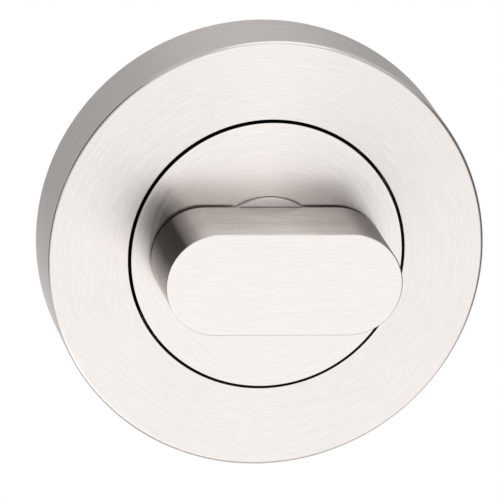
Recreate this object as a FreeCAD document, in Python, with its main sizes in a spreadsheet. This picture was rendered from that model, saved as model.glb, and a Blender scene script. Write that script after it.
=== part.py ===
import FreeCAD, Part
import math
import os
import Sketcher
from FreeCAD import Placement, Rotation, Vector

# Thumb turn for a bathroom door, on a round rose with concealed fixings.
# Frame: X to the right as the turn is seen from the room, Z up, the door's face at y = 0
# and the rose standing out along -Y, so an "out" distance is a distance in front of the door.

SIZES = {
    # rose cover
    "rose_depth": 9.8,
    "cover_wall": 1.6,
    "cover_front": 2.0,
    "cover_edge_bevel": 0.3,
    "cover_bore_bevel": 0.1,
    "cover_room": 0.9,
    # centre disc
    "disc_thickness": 2.6,
    "disc_proud": 0.2,
    "disc_bore_gap": 0.35,
    "disc_edge_bevel": 0.1,
    # turn
    "turn_length": 27.9,
    "turn_thickness": 12.25,
    "turn_projection": 22.0,
    "turn_standoff": 0.75,
    "turn_edge_bevel": 0.1,
    "neck_shoulder": 2.7,
    "neck_edge_bevel": 0.2,
    "neck_gap": 0.1,
    "neck_sink": 0.25,
    "shaft_wall": 1.95,
    "shaft_reach": 0.7,
    "shaft_flat_depth": 0.7,
    "shaft_bevel": 0.3,
    # base plate
    "rim_gap": 0.1,
    "flange_thickness": 3.0,
    "tower_setback": 0.15,
    "tower_wall": 1.1,
    "tower_foot_bevel": 0.4,
    "hub_wall": 1.3,
    "web_thickness": 3.0,
    "rib_bite": 0.05,
    "core_rib_width": 1.5,
    "flange_rib_width": 1.4,
    "flange_rib_height": 1.6,
    "boss_width": 8.0,
    "boss_depth": 4.0,
    "boss_room": 1.4,
    "boss_wall": 1.4,
    # bush
    "bush_wall": 0.95,
    "bush_flange_overlap": 0.3,
    "bush_flange_thickness": 0.9,
    "running_gap": 0.05,
    "seat_gap": 0.05,
    # parts behind the hub
    "ring_thickness": 1.0,
    "ring_setback": 0.2,
    "ring_groove_depth": 0.2,
    "ring_width": 1.7,
    "ring_lug_radius": 1.25,
    "ring_lug_hole": 1.2,
    "ring_mouth": 2.0,
    "cam_thickness": 1.0,
    "cam_room": 0.9,
    "cam_tab_reach": 1.9,
    "cam_tab_angle": 20.0,
    "stop_gap": 0.3,
    "stop_angle": 2.0,
    "quarter_turn": 90.0,
    "spring_thickness": 0.4,
    "spring_room": 0.85,
    "spring_seat": 0.02,
    "spring_setback": 0.1,
    "spring_bore_gap": 0.3,
    # spindle and its pin
    "spindle_size": 5.0,
    "spindle_reach": 45.0,
    "spindle_depth": 16.0,
    "spindle_end": 0.6,
    "socket_spare": 0.5,
    "pin_diameter": 2.0,
    "pin_wall": 0.4,
    "pin_slot": 0.4,
    "pin_setback": 0.4,
    "hole_gap": 0.05,
    # grub screw
    "grub_diameter": 3.0,
    "grub_length": 5.0,
    "grub_setback": 0.1,
    "grub_tip_room": 0.4,
    "grub_socket": 1.5,
    "grub_socket_depth": 1.6,
    "grub_bevel": 0.25,
    "grub_point": 0.5,
    # disc screws
    "disc_screw_diameter": 2.0,
    "disc_screw_length": 4.5,
    "disc_screw_head": 3.8,
    "disc_screw_head_height": 1.3,
    "disc_screw_head_bevel": 0.4,
    "disc_screw_head_room": 0.15,
    "disc_tap_spare": 0.3,
    "disc_screw_slot": 0.5,
    "disc_screw_slot_depth": 0.6,
    # fixing screws
    "fixing_diameter": 3.5,
    "fixing_head": 7.0,
    "fixing_head_room": 0.5,
    "fixing_head_rim": 0.3,
    "fixing_length": 20.0,
    "fixing_hole": 4.0,
    "fixing_neck": 2.8,
    "fixing_point": 3.2,
    "fixing_cross_width": 1.0,
    "fixing_cross_span": 3.8,
    "fixing_cross_depth": 1.5,
}

DISC_SCREWS = 3
FIXING_SCREWS = 2
FLANGE_RIBS = 4
HEXAGON_SIDES = 6


class Size:
    """A length or an angle that carries its value and the sheet expression that gives it."""

    def __init__(self, value, text):
        self.value = value
        self.text = text

    def __add__(self, other):
        other = as_size(other)
        return Size(self.value + other.value, f"({self.text} + {other.text})")

    def __sub__(self, other):
        other = as_size(other)
        return Size(self.value - other.value, f"({self.text} - {other.text})")

    def __mul__(self, other):
        other = as_size(other)
        return Size(self.value * other.value, f"({self.text} * {other.text})")

    def __truediv__(self, other):
        other = as_size(other)
        return Size(self.value / other.value, f"({self.text} / {other.text})")

    def __neg__(self):
        return Size(-self.value, f"(-1 * {self.text})")


def as_size(number):
    if isinstance(number, Size):
        return number
    return Size(float(number), f"({number})")


def size(name):
    return Size(SIZES[name], f"sizes.{name}")


def cosine(angle):
    return Size(math.cos(math.radians(angle.value)), f"cos({angle.text})")


def sine(angle):
    return Size(math.sin(math.radians(angle.value)), f"sin({angle.text})")


def root(square):
    return Size(math.sqrt(square.value), f"sqrt({square.text})")


doc = FreeCAD.newDocument("ThumbTurn")
sheet = doc.addObject("Spreadsheet::Sheet", "sizes")
for row, (name, value) in enumerate(SIZES.items(), start=1):
    sheet.set(f"A{row}", name)
    sheet.set(f"B{row}", str(value))
    sheet.setAlias(f"B{row}", name)
doc.recompute()

full_circle = as_size(360)
straight_up = full_circle / 4

# places along the axis, measured out from the door
cover_face = size("rose_depth")
cover_inner_face = cover_face - size("cover_front")
disc_front = cover_face + size("disc_proud")
disc_back = disc_front - size("disc_thickness")
block_back = disc_front + size("turn_standoff")
neck_back = disc_back - size("neck_sink")
bush_front = neck_back - size("running_gap")
bush_seat = bush_front - size("bush_flange_thickness")
ring_back = size("ring_setback")
ring_front = ring_back + size("ring_thickness")
cam_back = ring_front + size("seat_gap")
cam_front = cam_back + size("cam_thickness")
flats_front = cam_front + size("seat_gap")
hub_back = cam_front + size("spring_room")
core_floor = disc_back - size("web_thickness")
pin_out = (disc_front + disc_back) / 2
boss_front = cover_inner_face - size("boss_room")
grub_out = boss_front - size("boss_wall") - size("grub_diameter") / 2

# distances from the axis, from the spindle's socket outward to the rose's edge
socket_half = size("spindle_size") / 2 + size("hole_gap")
shaft_radius = socket_half + size("shaft_wall")
flat_reach = shaft_radius - size("shaft_flat_depth")
groove_radius = shaft_radius - size("ring_groove_depth")
bush_bore = shaft_radius + size("running_gap")
hub_bore = bush_bore + size("bush_wall") + size("seat_gap")
neck_radius = shaft_radius + size("neck_shoulder")
bush_flange_radius = neck_radius + size("bush_flange_overlap")
ring_inside = groove_radius + size("seat_gap")
ring_outside = ring_inside + size("ring_width")
cam_radius = ring_outside + size("ring_lug_radius")
tab_radius = cam_radius + size("cam_tab_reach")
recess_radius = cam_radius + size("cam_room")
hub_radius = tab_radius + size("stop_gap") + size("hub_wall")
disc_head_radius = size("disc_screw_head") / 2
disc_screw_place = hub_radius + size("disc_screw_head_room") + disc_head_radius
core_outside = disc_screw_place + disc_head_radius + size("disc_screw_head_room")
tower_radius = core_outside + size("tower_wall")
disc_radius = tower_radius + size("tower_setback")
cover_bore = disc_radius + size("disc_bore_gap")
fixing_head_radius = size("fixing_head") / 2
fixing_place = tower_radius + size("fixing_head_room") + fixing_head_radius
cover_inside = fixing_place + fixing_head_radius + size("cover_room")
rim_radius = cover_inside - size("rim_gap")
rose_radius = cover_inside + size("cover_wall")
grub_radius = size("grub_diameter") / 2
grub_outer_end = rose_radius - size("grub_setback")
grub_inner_end = grub_outer_end - size("grub_length")
pin_hole_radius = size("pin_diameter") / 2 + size("hole_gap")


def plane(body, role):
    """One of the body's own origin planes or axes."""
    return next(item for item in body.Origin.OriginFeatures if item.Role == role)


def new_body(label):
    name = "".join(word.capitalize() for word in label.split("_"))
    body = doc.addObject("PartDesign::Body", name)
    body.Label = label
    return body


def new_sketch(body, name, role, flip, offsets):
    sketch = body.newObject("Sketcher::SketchObject", f"{body.Name}{name}Sketch")
    sketch.AttachmentSupport = (plane(body, role), [""])
    sketch.MapMode = "FlatFace"
    shift = [as_size(offset) for offset in offsets]
    half_turn = Rotation(Vector(1, 0, 0), 180 if flip else 0)
    sketch.AttachmentOffset = Placement(Vector(*[item.value for item in shift]), half_turn)
    for axis, item in zip("xyz", shift):
        sketch.setExpression(f".AttachmentOffset.Base.{axis}", item.text)
    return sketch


def front_sketch(body, name, out):
    """Sketch seen from the room, in X and Z, at a distance out from the door."""
    return new_sketch(body, name, "XZ_Plane", False, (0, 0, out))


def level_sketch(body, name, level=0, across=0):
    """Sketch in X and the distance out from the door, at a height Z."""
    return new_sketch(body, name, "XY_Plane", True, (across, 0, level))


def hold(sketch, kind, geometry, point, value):
    """Sets one coordinate of a point from the sketch's origin."""
    index = sketch.addConstraint(Sketcher.Constraint(kind, -1, 1, geometry, point, value.value))
    sketch.setExpression(f"Constraints[{index}]", value.text)


def join(sketch, first, first_end, second, second_end):
    sketch.addConstraint(Sketcher.Constraint("Coincident", first, first_end, second, second_end))


def hold_radius(sketch, geometry, radius):
    index = sketch.addConstraint(Sketcher.Constraint("Radius", geometry, radius.value))
    sketch.setExpression(f"Constraints[{index}]", radius.text)


def heading(start, finish):
    """Direction of travel along X or Y, as -1, 0 or 1 on each axis."""
    return tuple((a.value < b.value) - (a.value > b.value) for a, b in zip(start, finish))


def outline(sketch, corners):
    """Closed run of straight lines through corners."""
    corners = [tuple(as_size(item) for item in corner) for corner in corners]
    lines = []
    for start, finish in zip(corners, corners[1:] + corners[:1]):
        ends = [Vector(point[0].value, point[1].value, 0) for point in (start, finish)]
        line = sketch.addGeometry(Part.LineSegment(*ends), False)
        hold(sketch, "DistanceX", line, 1, start[0])
        hold(sketch, "DistanceY", line, 1, start[1])
        lines.append(line)
    for line, after in zip(lines, lines[1:] + lines[:1]):
        join(sketch, line, 2, after, 1)
    return sketch


def bevel(before, corner, after, depth):
    """The two points that a bevel puts in place of a square corner."""
    points = [tuple(as_size(item) for item in point) for point in (before, corner, after)]
    arriving, leaving = heading(points[0], points[1]), heading(points[1], points[2])
    corner = points[1]
    return [tuple(corner[i] - depth * arriving[i] for i in range(2)),
            tuple(corner[i] + depth * leaving[i] for i in range(2))]


def rectangle(sketch, left, low, right, high):
    return outline(sketch, [(left, low), (right, low), (right, high), (left, high)])


def circle(sketch, across, up, radius):
    across, up, radius = as_size(across), as_size(up), as_size(radius)
    middle = Vector(across.value, up.value, 0)
    ring = sketch.addGeometry(Part.Circle(middle, Vector(0, 0, 1), radius.value), False)
    hold(sketch, "DistanceX", ring, 3, across)
    hold(sketch, "DistanceY", ring, 3, up)
    hold_radius(sketch, ring, radius)
    return sketch


def revolve(body, name, sketch, kind="PartDesign::Revolution"):
    """Turned form: the sketch goes round its own vertical axis."""
    feature = body.newObject(kind, f"{body.Name}{name}")
    feature.Profile = sketch
    feature.ReferenceAxis = (sketch, ["V_Axis"])
    feature.Angle = 360
    doc.recompute()
    return feature


def pad(body, name, sketch, length, reverse=False):
    feature = body.newObject("PartDesign::Pad", f"{body.Name}{name}")
    feature.Profile = sketch
    feature.Length = length.value
    feature.setExpression("Length", length.text)
    feature.Reversed = reverse
    doc.recompute()
    return feature


def pocket(body, name, sketch, length, reverse=False, both_ways=False):
    """Cut along the sketch's normal; a cut that meets no material is an error."""
    before = body.Shape.Volume
    feature = body.newObject("PartDesign::Pocket", f"{body.Name}{name}")
    feature.Profile = sketch
    feature.Length = length.value
    feature.setExpression("Length", length.text)
    feature.Reversed = reverse
    feature.Midplane = both_ways
    doc.recompute()
    if not body.Shape.Volume < before:
        raise RuntimeError(f"{feature.Name} cuts nothing")
    return feature


def repeat(body, name, features, count):
    """Copies features evenly round the turn's axis."""
    feature = body.newObject("PartDesign::PolarPattern", f"{body.Name}{name}")
    feature.Originals = features
    feature.Axis = (plane(body, "Y_Axis"), [""])
    feature.Angle = 360
    feature.Occurrences = count
    body.Tip = feature
    doc.recompute()
    return feature


def bevel_edges(body, name, base, faces, depth):
    """Bevels every edge of the faces that are named."""
    feature = body.newObject("PartDesign::Chamfer", f"{body.Name}{name}")
    feature.Base = (base, faces)
    feature.Size = depth.value
    feature.setExpression("Size", depth.text)
    doc.recompute()
    return feature


def faces_at(feature, out):
    """Names of the flat faces square to the axis at a distance out from the door."""
    names = []
    for index, face in enumerate(feature.Shape.Faces, start=1):
        box = face.BoundBox
        if box.YLength < 1e-6 and abs(box.YMin + out.value) < 1e-6:
            names.append(f"Face{index}")
    return names


def make_rose_cover():
    body = new_body("rose_cover")
    section = outline(level_sketch(body, "Section"), [
        (cover_inside, 0),
        (rose_radius, 0),
        *bevel((rose_radius, 0), (rose_radius, cover_face), (cover_bore, cover_face),
               size("cover_edge_bevel")),
        *bevel((rose_radius, cover_face), (cover_bore, cover_face), (cover_bore, cover_inner_face),
               size("cover_bore_bevel")),
        (cover_bore, cover_inner_face),
        (cover_inside, cover_inner_face),
    ])
    revolve(body, "Shell", section)
    hole = circle(level_sketch(body, "GrubHole"), 0, grub_out, grub_radius + size("hole_gap"))
    pocket(body, "GrubHole", hole, rose_radius * 2, reverse=True)
    return body


def make_centre_disc():
    body = new_body("centre_disc")
    bore = neck_radius + size("neck_gap")
    section = outline(level_sketch(body, "Section"), [
        (bore, disc_back),
        (disc_radius, disc_back),
        *bevel((disc_radius, disc_back), (disc_radius, disc_front), (bore, disc_front),
               size("disc_edge_bevel")),
        (bore, disc_front),
    ])
    revolve(body, "Plate", section)
    tapped = circle(front_sketch(body, "TappedHole", disc_back), disc_screw_place, 0,
                    size("disc_screw_diameter") / 2 + size("hole_gap"))
    depth = size("disc_screw_length") - size("web_thickness") + size("disc_tap_spare")
    hole = pocket(body, "TappedHole", tapped, depth, reverse=True)
    repeat(body, "TappedHoles", [hole], DISC_SCREWS)
    return body


def make_thumb_turn():
    body = new_body("thumb_turn")
    end_radius = size("turn_thickness") / 2
    end_place = size("turn_length") / 2 - end_radius
    block = stadium(front_sketch(body, "Bar", block_back), end_place, end_radius)
    bar = pad(body, "Bar", block, size("turn_projection") - block_back)
    faces = faces_at(bar, block_back) + faces_at(bar, size("turn_projection"))
    bevel_edges(body, "BarEdges", bar, faces, size("turn_edge_bevel"))

    shaft = outline(level_sketch(body, "Shaft"), [
        (0, -size("shaft_reach")),
        *bevel((0, -size("shaft_reach")), (shaft_radius, -size("shaft_reach")),
               (shaft_radius, ring_back), size("shaft_bevel")),
        (shaft_radius, ring_back - size("seat_gap")),
        (groove_radius, ring_back - size("seat_gap")),
        (groove_radius, ring_front + size("seat_gap")),
        (shaft_radius, ring_front + size("seat_gap")),
        (shaft_radius, neck_back),
        (neck_radius, neck_back),
        *bevel((neck_radius, neck_back), (neck_radius, block_back), (0, block_back),
               size("neck_edge_bevel")),
        (0, block_back),
    ])
    revolve(body, "Shaft", shaft)

    flats = front_sketch(body, "Flats", flats_front)
    for side in (-1, 1):
        near, far = flat_reach * side, shaft_radius * 2 * side
        rectangle(flats, -shaft_radius * 2, near, shaft_radius * 2, far)
    pocket(body, "Flats", flats, flats_front + size("shaft_reach"))

    socket = front_sketch(body, "Socket", -size("shaft_reach"))
    rectangle(socket, -socket_half, -socket_half, socket_half, socket_half)
    socket_depth = size("shaft_reach") + size("spindle_depth") + size("socket_spare")
    pocket(body, "Socket", socket, socket_depth, reverse=True)

    pin_hole = circle(level_sketch(body, "PinHole"), 0, pin_out, pin_hole_radius)
    pocket(body, "PinHole", pin_hole, neck_radius * 4, both_ways=True)
    return body


def stadium(sketch, end_place, end_radius):
    """Two straight sides joined by half-round ends."""
    half_turn = math.pi / 2
    for side in (1, -1):
        left, right = -end_place.value, end_place.value
        height = end_radius.value * side
        ends = [Vector(left * side, -height, 0), Vector(right * side, -height, 0)]
        line = sketch.addGeometry(Part.LineSegment(*ends), False)
        hold(sketch, "DistanceX", line, 1, -end_place * side)
        hold(sketch, "DistanceY", line, 1, -end_radius * side)
        centre = Vector(end_place.value * side, 0, 0)
        ring = Part.Circle(centre, Vector(0, 0, 1), end_radius.value)
        first = -half_turn if side > 0 else half_turn
        sketch.addGeometry(Part.ArcOfCircle(ring, first, first + math.pi), False)
    for line, arc, after in ((0, 1, 2), (2, 3, 0)):
        sketch.addConstraint(Sketcher.Constraint("Tangent", line, 2, arc, 1))
        sketch.addConstraint(Sketcher.Constraint("Tangent", arc, 2, after, 1))
    return sketch


def pie_slice(sketch, radius, middle, half_angle):
    """Two straight sides from the axis and the arc between them, about a middle angle."""
    first, last = middle - half_angle, middle + half_angle
    tips = [(radius * cosine(angle), radius * sine(angle)) for angle in (first, last)]
    points = [Vector(tip[0].value, tip[1].value, 0) for tip in tips]
    start = sketch.addGeometry(Part.LineSegment(Vector(0, 0, 0), points[0]), False)
    angles = [math.radians(angle.value) for angle in (first, last)]
    ring = Part.Circle(Vector(0, 0, 0), Vector(0, 0, 1), radius.value)
    arc = sketch.addGeometry(Part.ArcOfCircle(ring, angles[0], angles[1]), False)
    finish = sketch.addGeometry(Part.LineSegment(points[1], Vector(0, 0, 0)), False)
    join(sketch, start, 1, -1, 1)
    join(sketch, finish, 2, -1, 1)
    join(sketch, start, 2, arc, 1)
    join(sketch, arc, 2, finish, 1)
    join(sketch, arc, 3, -1, 1)
    hold(sketch, "DistanceX", start, 2, tips[0][0])
    hold(sketch, "DistanceY", start, 2, tips[0][1])
    hold(sketch, "DistanceX", finish, 1, tips[1][0])
    return sketch


def make_base_plate():
    body = new_body("base_plate")
    flange = size("flange_thickness")
    front_recess = bush_flange_radius + size("neck_gap")
    section = outline(level_sketch(body, "Section"), [
        (recess_radius, 0),
        (hub_radius, 0),
        (hub_radius, core_floor),
        (core_outside, core_floor),
        (core_outside, 0),
        (rim_radius, 0),
        (rim_radius, flange),
        *bevel((rim_radius, flange), (tower_radius, flange), (tower_radius, disc_back),
               size("tower_foot_bevel")),
        (tower_radius, disc_back),
        (front_recess, disc_back),
        (front_recess, bush_seat),
        (hub_bore, bush_seat),
        (hub_bore, hub_back),
        (recess_radius, hub_back),
    ])
    revolve(body, "Casting", section)

    core_rib = front_sketch(body, "CoreRib", 0)
    radial_bar(core_rib, hub_radius - size("rib_bite"), core_outside + size("rib_bite"),
               size("core_rib_width"), full_circle / 2)
    rib = pad(body, "CoreRib", core_rib, core_floor + size("rib_bite"))
    repeat(body, "CoreRibs", [rib], DISC_SCREWS)

    flange_rib = front_sketch(body, "FlangeRib", flange - size("rib_bite"))
    radial_bar(flange_rib, tower_radius - size("rib_bite"), rim_radius - size("rim_gap"),
               size("flange_rib_width"), straight_up / 2)
    rib = pad(body, "FlangeRib", flange_rib, size("flange_rib_height") + size("rib_bite"))
    repeat(body, "FlangeRibs", [rib], FLANGE_RIBS)

    boss = front_sketch(body, "Boss", flange - size("rib_bite"))
    half_width = size("boss_width") / 2
    boss_low = -root(rim_radius * rim_radius - half_width * half_width)
    rectangle(boss, -half_width, boss_low, half_width, boss_low + size("boss_depth"))
    pad(body, "Boss", boss, boss_front - flange + size("rib_bite"))
    grub_hole = circle(level_sketch(body, "GrubHole", size("grub_tip_room") - grub_inner_end),
                       0, grub_out, grub_radius + size("hole_gap"))
    pocket(body, "GrubHole", grub_hole, rose_radius, reverse=True)

    screw_hole = circle(front_sketch(body, "ScrewHole", core_floor), disc_screw_place, 0,
                        size("disc_screw_diameter") / 2 + size("hole_gap"))
    hole = pocket(body, "ScrewHole", screw_hole, size("web_thickness") * 2, reverse=True)
    repeat(body, "ScrewHoles", [hole], DISC_SCREWS)

    through = size("fixing_hole") / 2
    wide = fixing_head_radius + size("hole_gap")
    sunk = outline(level_sketch(body, "FixingHole", 0, fixing_place), [
        (0, 0),
        (through, 0),
        (through, flange - size("fixing_head_rim") - (wide - through)),
        (wide, flange - size("fixing_head_rim")),
        (wide, cover_face),
        (0, cover_face),
    ])
    hole = groove(body, "FixingHole", sunk)
    repeat(body, "FixingHoles", [hole], FIXING_SCREWS)

    half_room = size("quarter_turn") / 2 + size("cam_tab_angle") / 2 + size("stop_angle")
    room = pie_slice(front_sketch(body, "StopRoom", 0), tab_radius + size("stop_gap"),
                     straight_up, half_room)
    pocket(body, "StopRoom", room, hub_back, reverse=True)
    return body


def radial_bar(sketch, near, far, width, angle):
    """Rectangle along a ray from the axis."""
    half = width / 2
    along, across = (cosine(angle), sine(angle)), (-sine(angle), cosine(angle))
    corners = []
    for reach, side in ((near, -half), (far, -half), (far, half), (near, half)):
        corners.append(tuple(along[i] * reach + across[i] * side for i in range(2)))
    return outline(sketch, corners)


def groove(body, name, sketch):
    before = body.Shape.Volume
    feature = revolve(body, name, sketch, "PartDesign::Groove")
    if not body.Shape.Volume < before:
        raise RuntimeError(f"{feature.Name} cuts nothing")
    return feature


def make_neck_bush():
    body = new_body("neck_bush")
    outside = bush_bore + size("bush_wall")
    section = outline(level_sketch(body, "Section"), [
        (bush_bore, hub_back),
        (outside, hub_back),
        (outside, bush_seat),
        (bush_flange_radius, bush_seat),
        (bush_flange_radius, bush_front),
        (bush_bore, bush_front),
    ])
    revolve(body, "Bush", section)
    return body


def make_spring_washer():
    """Ring cut from sheet that is bowed about a line parallel to X."""
    body = new_body("spring_washer")
    outside = cam_radius - size("spring_setback")
    low = cam_front + size("spring_seat")
    bow = hub_back - size("spring_seat") - low - size("spring_thickness")
    bend = (outside * outside + bow * bow) / (bow * 2)
    centre = low + bend
    strip = upright_sketch(body, "Strip", -outside)
    bowed_strip(strip, centre, bend, size("spring_thickness"), outside)
    pad(body, "Strip", strip, outside * 2)

    trim = front_sketch(body, "Trim", low)
    circle(trim, 0, 0, outside)
    rectangle(trim, -outside * 2, -outside * 2, outside * 2, outside * 2)
    pocket(body, "Trim", trim, size("spring_room") * 2, both_ways=True)
    bore = circle(front_sketch(body, "Bore", low), 0, 0, shaft_radius + size("spring_bore_gap"))
    pocket(body, "Bore", bore, size("spring_room") * 2, both_ways=True)
    return body


def upright_sketch(body, name, across):
    """Sketch in the plane square to X: across is the distance out negated, up is Z."""
    return new_sketch(body, name, "YZ_Plane", False, (0, 0, across))


def bowed_strip(sketch, centre, bend, thickness, half_length):
    """Cross-section of sheet bowed about a far centre, from edge to edge."""
    inner = bend - thickness
    edges = []
    for radius in (bend, inner):
        reach = root(radius * radius - half_length * half_length)
        edges.append((radius, reach - centre))
    arcs = []
    for radius, across in edges:
        ring = Part.Circle(Vector(-centre.value, 0, 0), Vector(0, 0, 1), radius.value)
        angle = math.asin(half_length.value / radius.value)
        arc = sketch.addGeometry(Part.ArcOfCircle(ring, -angle, angle), False)
        hold(sketch, "DistanceX", arc, 3, -centre)
        hold(sketch, "DistanceY", arc, 3, as_size(0))
        hold(sketch, "DistanceY", arc, 1, -half_length)
        hold(sketch, "DistanceY", arc, 2, half_length)
        hold_radius(sketch, arc, radius)
        arcs.append((arc, across))
    for end, sign in ((1, -1), (2, 1)):
        points = [Vector(across.value, half_length.value * sign, 0) for _, across in arcs]
        line = sketch.addGeometry(Part.LineSegment(*points), False)
        join(sketch, line, 1, arcs[0][0], end)
        join(sketch, line, 2, arcs[1][0], end)
    return sketch


def make_stop_cam():
    body = new_body("stop_cam")
    disc = circle(front_sketch(body, "Disc", cam_back), 0, 0, cam_radius)
    pad(body, "Disc", disc, size("cam_thickness"))
    tab_angle = straight_up + size("quarter_turn") / 2
    tab = front_sketch(body, "Tab", cam_back)
    pie_slice(tab, tab_radius, tab_angle, size("cam_tab_angle") / 2)
    pad(body, "Tab", tab, size("cam_thickness"))
    bore = front_sketch(body, "Bore", cam_back)
    flat_bore(bore, shaft_radius + size("hole_gap"), flat_reach + size("hole_gap"))
    pocket(body, "Bore", bore, size("cam_thickness"), reverse=True)
    return body


def flat_bore(sketch, radius, half_flat):
    """Round hole with two flat sides, above and below."""
    reach = root(radius * radius - half_flat * half_flat)
    lift = math.atan2(half_flat.value, reach.value)
    lines = []
    for side in (-1, 1):
        ends = [Vector(reach.value * side, half_flat.value * side, 0),
                Vector(-reach.value * side, half_flat.value * side, 0)]
        line = sketch.addGeometry(Part.LineSegment(*ends), False)
        hold(sketch, "DistanceY", line, 1, half_flat * side)
        hold(sketch, "DistanceY", line, 2, half_flat * side)
        lines.append(line)
    for side, (line_in, line_out) in ((1, lines), (-1, reversed(lines))):
        middle = 0 if side > 0 else math.pi
        ring = Part.Circle(Vector(0, 0, 0), Vector(0, 0, 1), radius.value)
        arc = sketch.addGeometry(Part.ArcOfCircle(ring, middle - lift, middle + lift), False)
        join(sketch, arc, 3, -1, 1)
        hold_radius(sketch, arc, radius)
        join(sketch, line_in, 2, arc, 1)
        join(sketch, arc, 2, line_out, 1)
    return sketch


def make_retaining_ring():
    body = new_body("retaining_ring")
    thickness = size("ring_thickness")
    lug = size("ring_lug_radius")
    lug_across = size("ring_mouth") / 2 + lug
    ring = circle(front_sketch(body, "Ring", ring_back), 0, 0, ring_outside)
    pad(body, "Ring", ring, thickness)
    for side, name in ((-1, "LeftLug"), (1, "RightLug")):
        sketch = circle(front_sketch(body, name, ring_back), lug_across * side, -ring_outside, lug)
        pad(body, name, sketch, thickness)
    bore = circle(front_sketch(body, "Bore", ring_back), 0, 0, ring_inside)
    pocket(body, "Bore", bore, thickness, reverse=True)
    mouth = front_sketch(body, "Mouth", ring_back)
    rectangle(mouth, -size("ring_mouth") / 2, -ring_outside - lug * 2, size("ring_mouth") / 2, 0)
    pocket(body, "Mouth", mouth, thickness, reverse=True)
    eyes = front_sketch(body, "Eyes", ring_back)
    for side in (-1, 1):
        circle(eyes, lug_across * side, -ring_outside, size("ring_lug_hole") / 2)
    pocket(body, "Eyes", eyes, thickness, reverse=True)
    return body


def make_spindle():
    body = new_body("spindle")
    half = size("spindle_size") / 2
    square = rectangle(front_sketch(body, "Square", -size("spindle_reach")), -half, -half, half, half)
    length = size("spindle_reach") + size("spindle_depth")
    bar = pad(body, "Bar", square, length)
    ends = faces_at(bar, size("spindle_depth")) + faces_at(bar, -size("spindle_reach"))
    bevel_edges(body, "Ends", bar, ends, size("spindle_end"))
    pin_hole = circle(level_sketch(body, "PinHole"), 0, pin_out, pin_hole_radius)
    pocket(body, "PinHole", pin_hole, size("spindle_size") * 2, both_ways=True)
    return body


def make_spindle_pin():
    """Rolled pin: a tube with a slot along one side."""
    body = new_body("spindle_pin")
    outside = size("pin_diameter") / 2
    half_length = neck_radius - size("pin_setback")
    ring = level_sketch(body, "Ring", half_length)
    circle(ring, 0, pin_out, outside)
    circle(ring, 0, pin_out, outside - size("pin_wall"))
    pad(body, "Tube", ring, half_length * 2)
    slot = level_sketch(body, "Slot", half_length)
    rectangle(slot, 0, pin_out - size("pin_slot") / 2, outside * 2, pin_out + size("pin_slot") / 2)
    pocket(body, "Slot", slot, half_length * 2, reverse=True)
    return body


def make_cover_grub_screw():
    body = new_body("cover_grub_screw")
    section = outline(front_sketch(body, "Section", grub_out), [
        (0, -grub_outer_end),
        *bevel((0, -grub_outer_end), (grub_radius, -grub_outer_end),
               (grub_radius, -grub_inner_end), size("grub_bevel")),
        *bevel((grub_radius, -grub_outer_end), (grub_radius, -grub_inner_end),
               (0, -grub_inner_end), size("grub_point")),
        (0, -grub_inner_end),
    ])
    revolve(body, "Screw", section)
    socket = level_sketch(body, "Socket", -grub_outer_end)
    hexagon(socket, grub_out, size("grub_socket"))
    pocket(body, "Socket", socket, size("grub_socket_depth"))
    return body


def hexagon(sketch, up, across_flats):
    """Regular hexagon about a point on the sketch's vertical axis."""
    step = full_circle / HEXAGON_SIDES
    radius = across_flats / 2 / cosine(step / 2)
    corners = []
    for side in range(HEXAGON_SIDES):
        corners.append((radius * cosine(step * side), up + radius * sine(step * side)))
    return outline(sketch, corners)


def make_disc_screws():
    body = new_body("disc_screws")
    shank = size("disc_screw_diameter") / 2
    head_back = core_floor - size("disc_screw_head_height")
    tip = core_floor + size("disc_screw_length")
    section = outline(level_sketch(body, "Section", 0, disc_screw_place), [
        (0, head_back),
        *bevel((0, head_back), (disc_head_radius, head_back), (disc_head_radius, core_floor),
               size("disc_screw_head_bevel")),
        (disc_head_radius, core_floor),
        (shank, core_floor),
        (shank, tip),
        (0, tip),
    ])
    screw = revolve(body, "Screw", section)
    slot = front_sketch(body, "Slot", head_back)
    half = size("disc_screw_slot") / 2
    reach = size("disc_screw_head")
    rectangle(slot, disc_screw_place - reach, -half, disc_screw_place + reach, half)
    cut = pocket(body, "Slot", slot, size("disc_screw_slot_depth"), reverse=True)
    repeat(body, "Screws", [screw, cut], DISC_SCREWS)
    return body


def make_fixing_screws():
    body = new_body("fixing_screws")
    thread = size("fixing_diameter") / 2
    neck = size("fixing_neck") / 2
    top = size("flange_thickness")
    rim = top - size("fixing_head_rim")
    tip = top - size("fixing_length")
    section = outline(level_sketch(body, "Section", 0, fixing_place), [
        (0, tip),
        (thread, tip + size("fixing_point")),
        (thread, 0),
        (neck, 0),
        (neck, rim - (fixing_head_radius - neck)),
        (fixing_head_radius, rim),
        (fixing_head_radius, top),
        (0, top),
    ])
    screw = revolve(body, "Screw", section)
    span, width = size("fixing_cross_span") / 2, size("fixing_cross_width") / 2
    cuts = []
    for name, reach, half in (("LevelSlot", span, width), ("UprightSlot", width, span)):
        slot = front_sketch(body, name, top)
        rectangle(slot, fixing_place - reach, -half, fixing_place + reach, half)
        cuts.append(pocket(body, name, slot, size("fixing_cross_depth")))
    repeat(body, "Screws", [screw, *cuts], FIXING_SCREWS)
    return body


parts = [
    make_rose_cover(),
    make_centre_disc(),
    make_thumb_turn(),
    make_base_plate(),
    make_neck_bush(),
    make_spring_washer(),
    make_stop_cam(),
    make_retaining_ring(),
    make_spindle(),
    make_spindle_pin(),
    make_cover_grub_screw(),
    make_disc_screws(),
    make_fixing_screws(),
]
doc.recompute()

for item in doc.Objects:
    if {"Invalid", "Error"} & set(item.State):
        raise RuntimeError(f"{item.Name} failed: {item.State}")
for part in parts:
    if part.Shape.isNull() or not part.Shape.isValid():
        raise RuntimeError(f"{part.Label} has no valid shape")

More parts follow.
